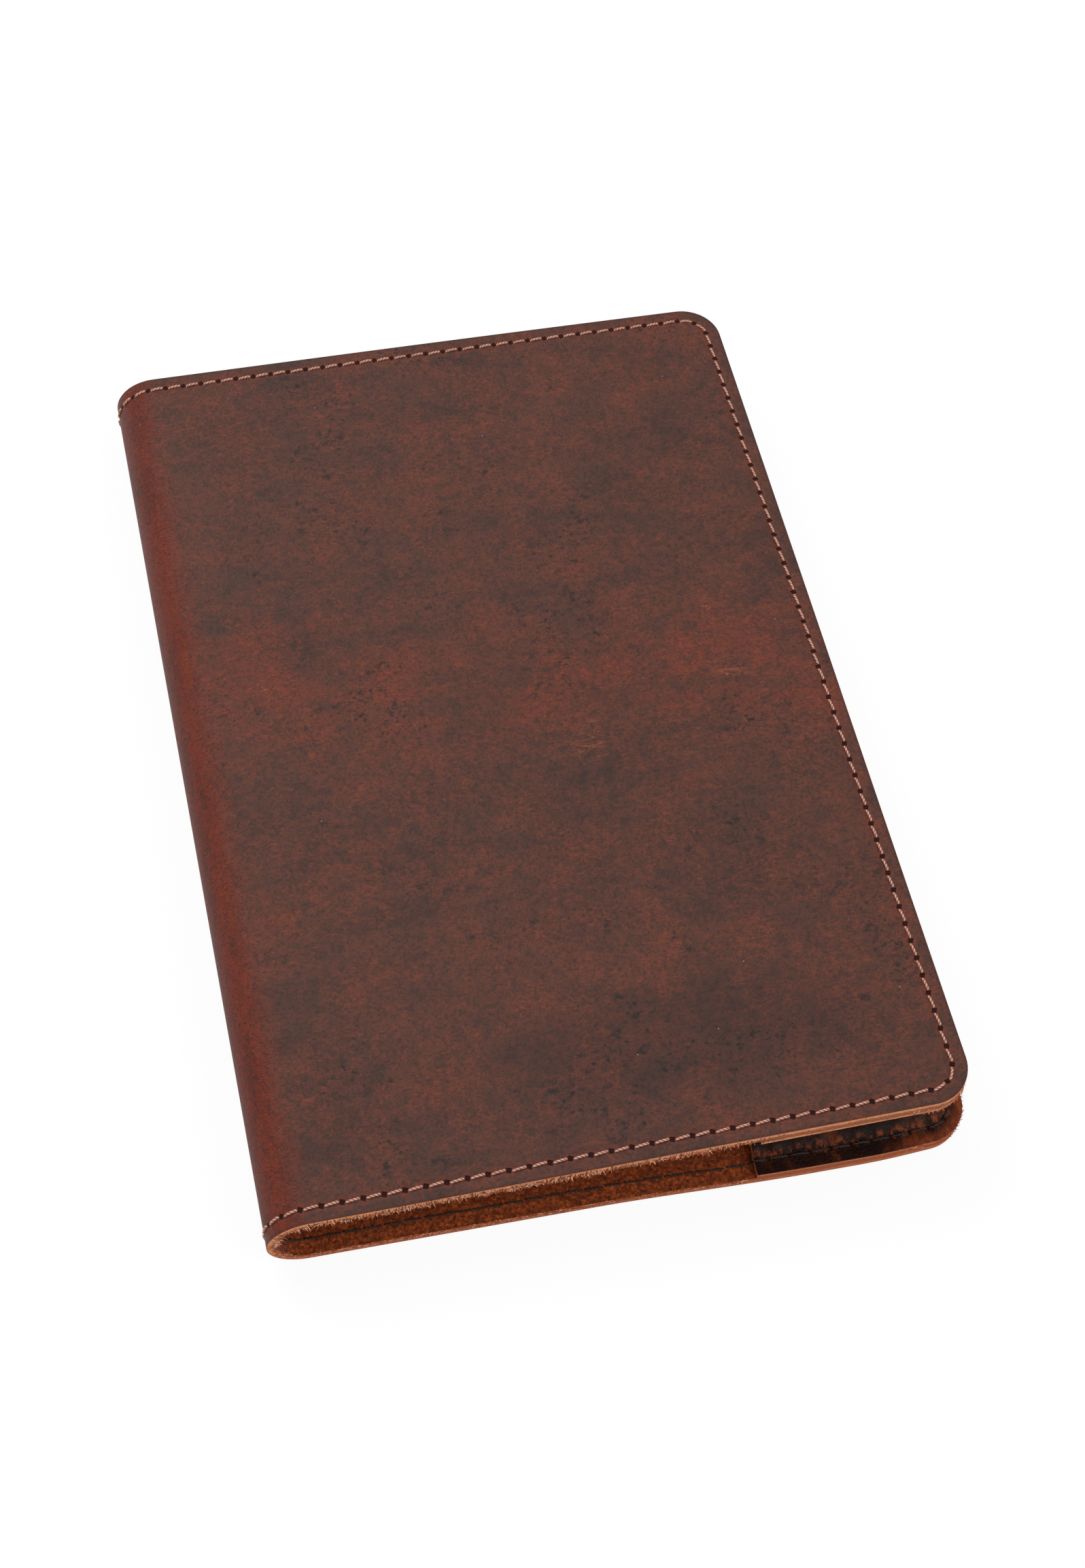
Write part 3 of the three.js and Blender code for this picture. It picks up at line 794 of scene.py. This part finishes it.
# One stitch, lying along x over its leather, with both ends down in their holes
def makeStitch(thread, finish):
    clearSelection()
    bpy.ops.mesh.primitive_cylinder_add(vertices=seam["sides"], radius=thread["width"] / 2,
                                        depth=pitch * seam["length"], end_fill_type="TRIFAN")
    stitch = bpy.context.object
    rename(stitch, "stitch")
    stitch.rotation_euler = (0, math.pi / 2, 0)
    bpy.ops.object.transform_apply(rotation=True)
    bpy.ops.object.mode_set(mode="EDIT")
    for share in seam["cuts"]:
        bpy.ops.mesh.select_all(action="SELECT")
        bpy.ops.mesh.bisect(plane_co=(share * pitch, 0, 0), plane_no=(1, 0, 0), use_fill=False)
    bpy.ops.object.mode_set(mode="OBJECT")
    lie = stitch.data.uv_layers[0]
    lie.name = "thread"
    for face in stitch.data.polygons:
        middle = math.atan2(face.center.z, face.center.y) / (2 * math.pi)
        for index in face.loop_indices:
            co = stitch.data.vertices[stitch.data.loops[index].vertex_index].co
            angle = math.atan2(co.z, co.y) / (2 * math.pi)
            if abs(face.normal.x) < seam["capFrom"]:
                angle += round(middle - angle)
            lie.data[index].uv = (co.x / pitch, angle)
    for vertex in stitch.data.vertices:
        share = abs(vertex.co.x) / pitch
        dive = smoothStep(thread["dip"], 0.5, share)
        arch = thread["proud"] * (1 - seam["droop"] * smoothStep(0.0, seam["droopAt"], share))
        vertex.co.y *= 1 - seam["narrowed"] * dive
        vertex.co.z *= 1 - seam["flattened"] * dive
        vertex.co.z += arch - (thread["proud"] + seam["sunk"]) * dive
    finishUp(stitch, seam["smooth"])
    paint(stitch, finish)
    return stitch


# Joins what lies on each stretch of the hide, and names it after that stretch
def joinByStretch(groups, label):
    for home, pieces in sorted(groups.items()):
        joint = joinAll(pieces)
        rename(joint, hides[home].name.replace("hide", label))
        bendWithSpine(joint, home)


def homeOf(along):
    return sum(along > strip for strip in midStrips)


def sewSeam(name, thread, finish, surface, inside):
    rng = random.Random(len(name) * 31 + int(inside))
    stitch = makeStitch(thread, finish)
    groups = {}
    for sideY in (1, -1):
        for sideX in (1, -1):
            for k in range(seam["stitchesPerQuarter"]):
                centre = (k + 0.5) * pitch
                piece = twin(stitch)
                wander, lift = rng.uniform(-seam["wander"], seam["wander"]), rng.uniform(*seam["lift"])
                for vertex in piece.data.vertices:
                    run, side, up = vertex.co
                    side += sideX * sideY * thread["slant"] * (2 * run / pitch) + wander
                    along, y = sheetPlace(centre + run, seam["inset"] - side)
                    depth = surface(sideX * along, sideY * y)
                    up += lift
                    vertex.co = folded(sideX * along, sideY * y, depth + up if inside else depth - up)
                if (sideX * sideY < 0) != inside:
                    piece.data.flip_normals()
                home = homeOf(sideX * sheetPlace(centre, seam["inset"])[0])
                groups.setdefault(home, []).append(piece)
    bpy.data.objects.remove(stitch)
    joinByStretch(groups, name + "_thread")


def grainSide(along, y):
    return 0.0


def innerSide(along, y):
    if abs(along) < pocketFrom:
        return cover["thickness"]
    return cover["thickness"] + pocketLift(abs(along), y) + pocket["thickness"]


sewSeam("outer", outer, outerThread, grainSide, False)
sewSeam("bobbin", bobbin, innerThread, innerSide, True)
print("seam sewn")

# Loose fibres in small tufts along the cut edges, thickest on the suede side of the tail.
# Pairs are a least and a most; the way they stand aslant is a mean and its deviation.
fuzz = {
    "tufts": 1100, "seed": 5, "strands": 3, "root": 0.5, "tip": 0.08, "width": 0.22, "spread": 0.7,
    "bent": 0.45, "length": (0.45, 1.0), "jitter": 0.01, "reach": (0.4, 1.35),
    "inward": (0.02, 0.14), "through": (0.4, 0.96), "nearCorner": 9,
    "outwards": (0.25, 0.6), "inwards": (0.5, 1.0), "aslant": (0.25, 0.3),
    "trimmed": 0.9, "trimmedAcross": 1.0, "trimmedCorner": 5.0,
}


def makeTuft():
    rng = random.Random(fuzz["seed"])
    clearSelection()
    strands = []
    for _ in range(fuzz["strands"]):
        bpy.ops.mesh.primitive_cone_add(vertices=3, radius1=fuzz["root"], radius2=fuzz["tip"], depth=1,
                                        location=(0, 0, 0.5))
        strand = bpy.context.object
        bpy.ops.object.transform_apply(location=True)
        bpy.ops.object.mode_set(mode="EDIT")
        bpy.ops.mesh.bisect(plane_co=(0, 0, 0.5), plane_no=(0, 0, 1), use_fill=False)
        bpy.ops.object.mode_set(mode="OBJECT")
        root, tip = rng.uniform(-1, 1) * fuzz["spread"], rng.gauss(0, fuzz["bent"])
        length = rng.uniform(*fuzz["length"])
        for vertex in strand.data.vertices:
            t = vertex.co.z
            vertex.co.x = vertex.co.x * fuzz["width"] + root + tip * t * t
            vertex.co.y = vertex.co.y * fuzz["width"] + rng.uniform(-fuzz["jitter"], fuzz["jitter"])
            vertex.co.z = t * length
        strands.append(strand)
    tuft = joinAll(strands)
    paint(tuft, wisp)
    return tuft


def growFibres():
    rng = random.Random(fuzz["seed"])
    tuft = makeTuft()
    groups = {}
    for _ in range(fuzz["tufts"]):
        sideX, sideY = rng.choice((1, -1)), rng.choice((1, -1, -1))
        atTail = rng.uniform(0, pocketFrom)
        anywhere = rng.uniform(0, wholeRun)
        atCorner = rng.gauss(alongTail + roundCorner / 2, fuzz["nearCorner"])
        run = min(max(rng.choice((atTail, atTail, anywhere, atCorner)), 0), wholeRun)
        inward = rng.uniform(*fuzz["inward"])
        along, y = sheetPlace(run, inward)
        nextAlong, nextY = sheetPlace(run, inward - 1)
        out = Vector((nextAlong - along, nextY - y, 0))
        beside = Vector((out.y, -out.x, 0))
        level = innerSide(along, y) * rng.uniform(*fuzz["through"])
        # the pocket's own edge at the tail is clean
        lined = abs(along) > pocketFrom - fuzz["trimmedAcross"] and run < alongTail - fuzz["trimmedCorner"]
        if lined and rng.random() < fuzz["trimmed"]:
            continue
        way = out * rng.uniform(*fuzz["outwards"]) + Vector((0, 0, rng.uniform(*fuzz["inwards"])))
        way += beside * rng.gauss(*fuzz["aslant"])
        reach = rng.uniform(*fuzz["reach"])
        root = Vector((along, y, level))
        piece = twin(tuft)
        for vertex in piece.data.vertices:
            at = root + beside * vertex.co.x + out * vertex.co.y + way * vertex.co.z * reach
            vertex.co = folded(sideX * at.x, sideY * at.y, at.z)
        if sideX * sideY > 0:
            piece.data.flip_normals()
        groups.setdefault(homeOf(sideX * along), []).append(piece)
    bpy.data.objects.remove(tuft)
    joinByStretch(groups, "fibres")


growFibres()
print("edges frayed")

for number, hide in enumerate(hides):
    bendWithSpine(hide, number)
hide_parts("back_panel", "spine_strip_1")
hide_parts("spine_strip_2")
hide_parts("spine_strip_3")
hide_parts("front_panel")

# The refill: gatherings of sheets folded into each other, in a frame midway between the two covers
refill = {
    "reach": 122.5, "height": 203.0, "thickness": 0.115, "corner": 6.0, "rubbed": 0.02, "rings": (1.0,),
    "step": 14, "foldSteps": 8, "smooth": 50, "sheets": 5, "gathering": 1.4, "gap": 0.3, "trim": 0.08,
    "middle": 2.6, "shoulderAt": 1.5, "insideShoulder": 5.225, "flatAt": -3.4,
    "wave": 0.012, "waveAcross": 0.11, "waveUp": 0.05, "phases": 6, "waveFrom": 20,
}
gatheringBodies = ["refill_front", "leaves_2", "leaves_3", "refill_back", "refill_back", "refill_back"]


def foldGathering(number, body):
    rng = random.Random(number)
    half, halfLeaf = refill["gathering"] / 2, refill["thickness"] / 2
    level = ((len(gatheringBodies) + 1) / 2 - number) * (refill["gathering"] + refill["gap"])
    shoulder = refill["insideShoulder"] - half
    foldAt = max(refill["shoulderAt"] - math.sqrt(shoulder ** 2 - level ** 2), refill["flatAt"] + half)
    sine, cosine = math.sin(cover["gape"] / 2), math.cos(cover["gape"] / 2)
    along, across = Vector((cosine, 0, sine)), Vector((-sine, 0, cosine))
    sheets = []
    for layer in range(refill["sheets"]):
        radius = (half - halfLeaf) * (layer + 0.5) / (refill["sheets"] - 0.5)
        bend = math.pi * radius / 2
        reach = refill["reach"] - foldAt - rng.uniform(0, refill["trim"]) + bend
        inFold = [-bend] + steps(-bend, bend, 2 * bend / refill["foldSteps"]) + [bend]
        acrossAt = steps(-reach, -bend, refill["step"]) + inFold + steps(bend, reach, refill["step"])
        sheet = cutSheet("pages_%d" % number, refill, -reach, reach, (-reach, reach), acrossAt)
        wave, phase = rng.uniform(0.0, refill["wave"]), rng.uniform(0, refill["phases"])
        for vertex in sheet.data.vertices:
            run, y, depth = vertex.co
            ring = radius + depth + halfLeaf
            if abs(run) < bend:
                at, up = -ring * math.cos(run / radius), ring * math.sin(run / radius)
            else:
                at, up = abs(run) - bend, math.copysign(ring, run)
            ripple = math.sin(at * refill["waveAcross"] + y * refill["waveUp"] + phase)
            up += wave * ripple * smoothStep(0, refill["waveFrom"], at)
            vertex.co = (spineCentre + along * (foldAt + at) + across * (level + up)) * mm
            vertex.co.y = (y + refill["middle"]) * mm
        edit(sheet)
        bpy.ops.mesh.normals_make_consistent(inside=False)
        bpy.ops.object.mode_set(mode="OBJECT")
        sheets.append(sheet)
    gathering = joinAll(sheets)
    rename(gathering, "pages_%d" % number)
    finishUp(gathering, refill["smooth"])
    paint(gathering, paper)
    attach(gathering, body)
    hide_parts("signature_%d" % number)


for number, body in enumerate(gatheringBodies, 1):
    foldGathering(number, body)
for name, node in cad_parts.items():
    if name.startswith("refill"):
        paint(node, card)
print("refill folded")

# The camera's place is in millimetres. The floor is in metres, and so are each lamp's place and size; its watts
# come last.
studio = {
    "camera": (-103.62, -299.82, 494.96), "right": (0.97199, -0.21828, 0.08715),
    "down": (-0.14086, -0.83780, -0.52749), "lens": 58.893, "sensor": 36, "clip": (0.01, 20),
    "floorSize": 6, "floorLevel": -0.0004, "floorTone": 0.92, "floorGlow": 0.92, "worldLight": 0.55,
    "lamps": {"key": ((-0.5, 0.75, 1.1), (1.1, 0.8), 14), "fill": ((0.7, -0.7, 0.9), (1.0, 1.0), 7)},
}


def layFloor():
    clearSelection()
    bpy.ops.mesh.primitive_plane_add(size=studio["floorSize"], location=(0, 0, studio["floorLevel"]))
    floor = bpy.context.object
    floor.name = "floor"
    finish = Finish("floor_paper", {"Roughness": 0.9, "Specular IOR Level": 0.1})
    finish.shader.inputs["Base Color"].default_value = (studio["floorTone"],) * 3 + (1,)
    seen = finish.node("ShaderNodeLightPath", {}, {}, "Is Camera Ray") * studio["floorGlow"]
    lit = Signal(finish, finish.shader.outputs[0])
    glow = finish.node("ShaderNodeEmission", {}, {"Color": (1, 1, 1, 1), "Strength": 1.0})
    shown = finish.node("ShaderNodeMixShader", {}, {0: seen, 1: lit, 2: glow})
    finish.material.node_tree.links.new(shown.socket, finish.nodes["Material Output"].inputs["Surface"])
    paint(floor, finish.material)


def lightWorld():
    world = bpy.data.worlds.new("studio")
    bpy.context.scene.world = world
    world.use_nodes = True
    nodes, links = world.node_tree.nodes, world.node_tree.links
    path = nodes.new("ShaderNodeLightPath")
    strength = nodes.new("ShaderNodeMapRange")
    strength.inputs[3].default_value, strength.inputs[4].default_value = studio["worldLight"], 1.0
    links.new(path.outputs["Is Camera Ray"], strength.inputs[0])
    background = nodes["Background"]
    background.inputs["Color"].default_value = (1, 1, 1, 1)
    links.new(strength.outputs[0], background.inputs["Strength"])


# A lamp that looks at the middle of the table
def hangLamp(name, place, size, watts):
    lamp = bpy.data.lights.new(name, "AREA")
    lamp.shape, lamp.energy = "RECTANGLE", watts
    lamp.size, lamp.size_y = size
    holder = bpy.data.objects.new(name, lamp)
    bpy.context.collection.objects.link(holder)
    holder.location = place
    holder.rotation_euler = (-Vector(place)).to_track_quat("-Z", "Y").to_euler()


def setCamera():
    camera = bpy.data.objects.new("camera", bpy.data.cameras.new("camera"))
    bpy.context.collection.objects.link(camera)
    right, up = Vector(studio["right"]), -Vector(studio["down"])
    turned = Matrix((right, up, right.cross(up))).transposed().to_4x4()
    camera.matrix_world = Matrix.Translation(Vector(studio["camera"]) * mm) @ turned
    camera.data.lens, camera.data.sensor_width = studio["lens"], studio["sensor"]
    camera.data.clip_start, camera.data.clip_end = studio["clip"]
    bpy.context.scene.camera = camera


layFloor()
lightWorld()
for name, (place, size, watts) in studio["lamps"].items():
    hangLamp(name, place, size, watts)
setCamera()
bpy.context.scene.view_settings.view_transform = "Standard"
print("studio ready")
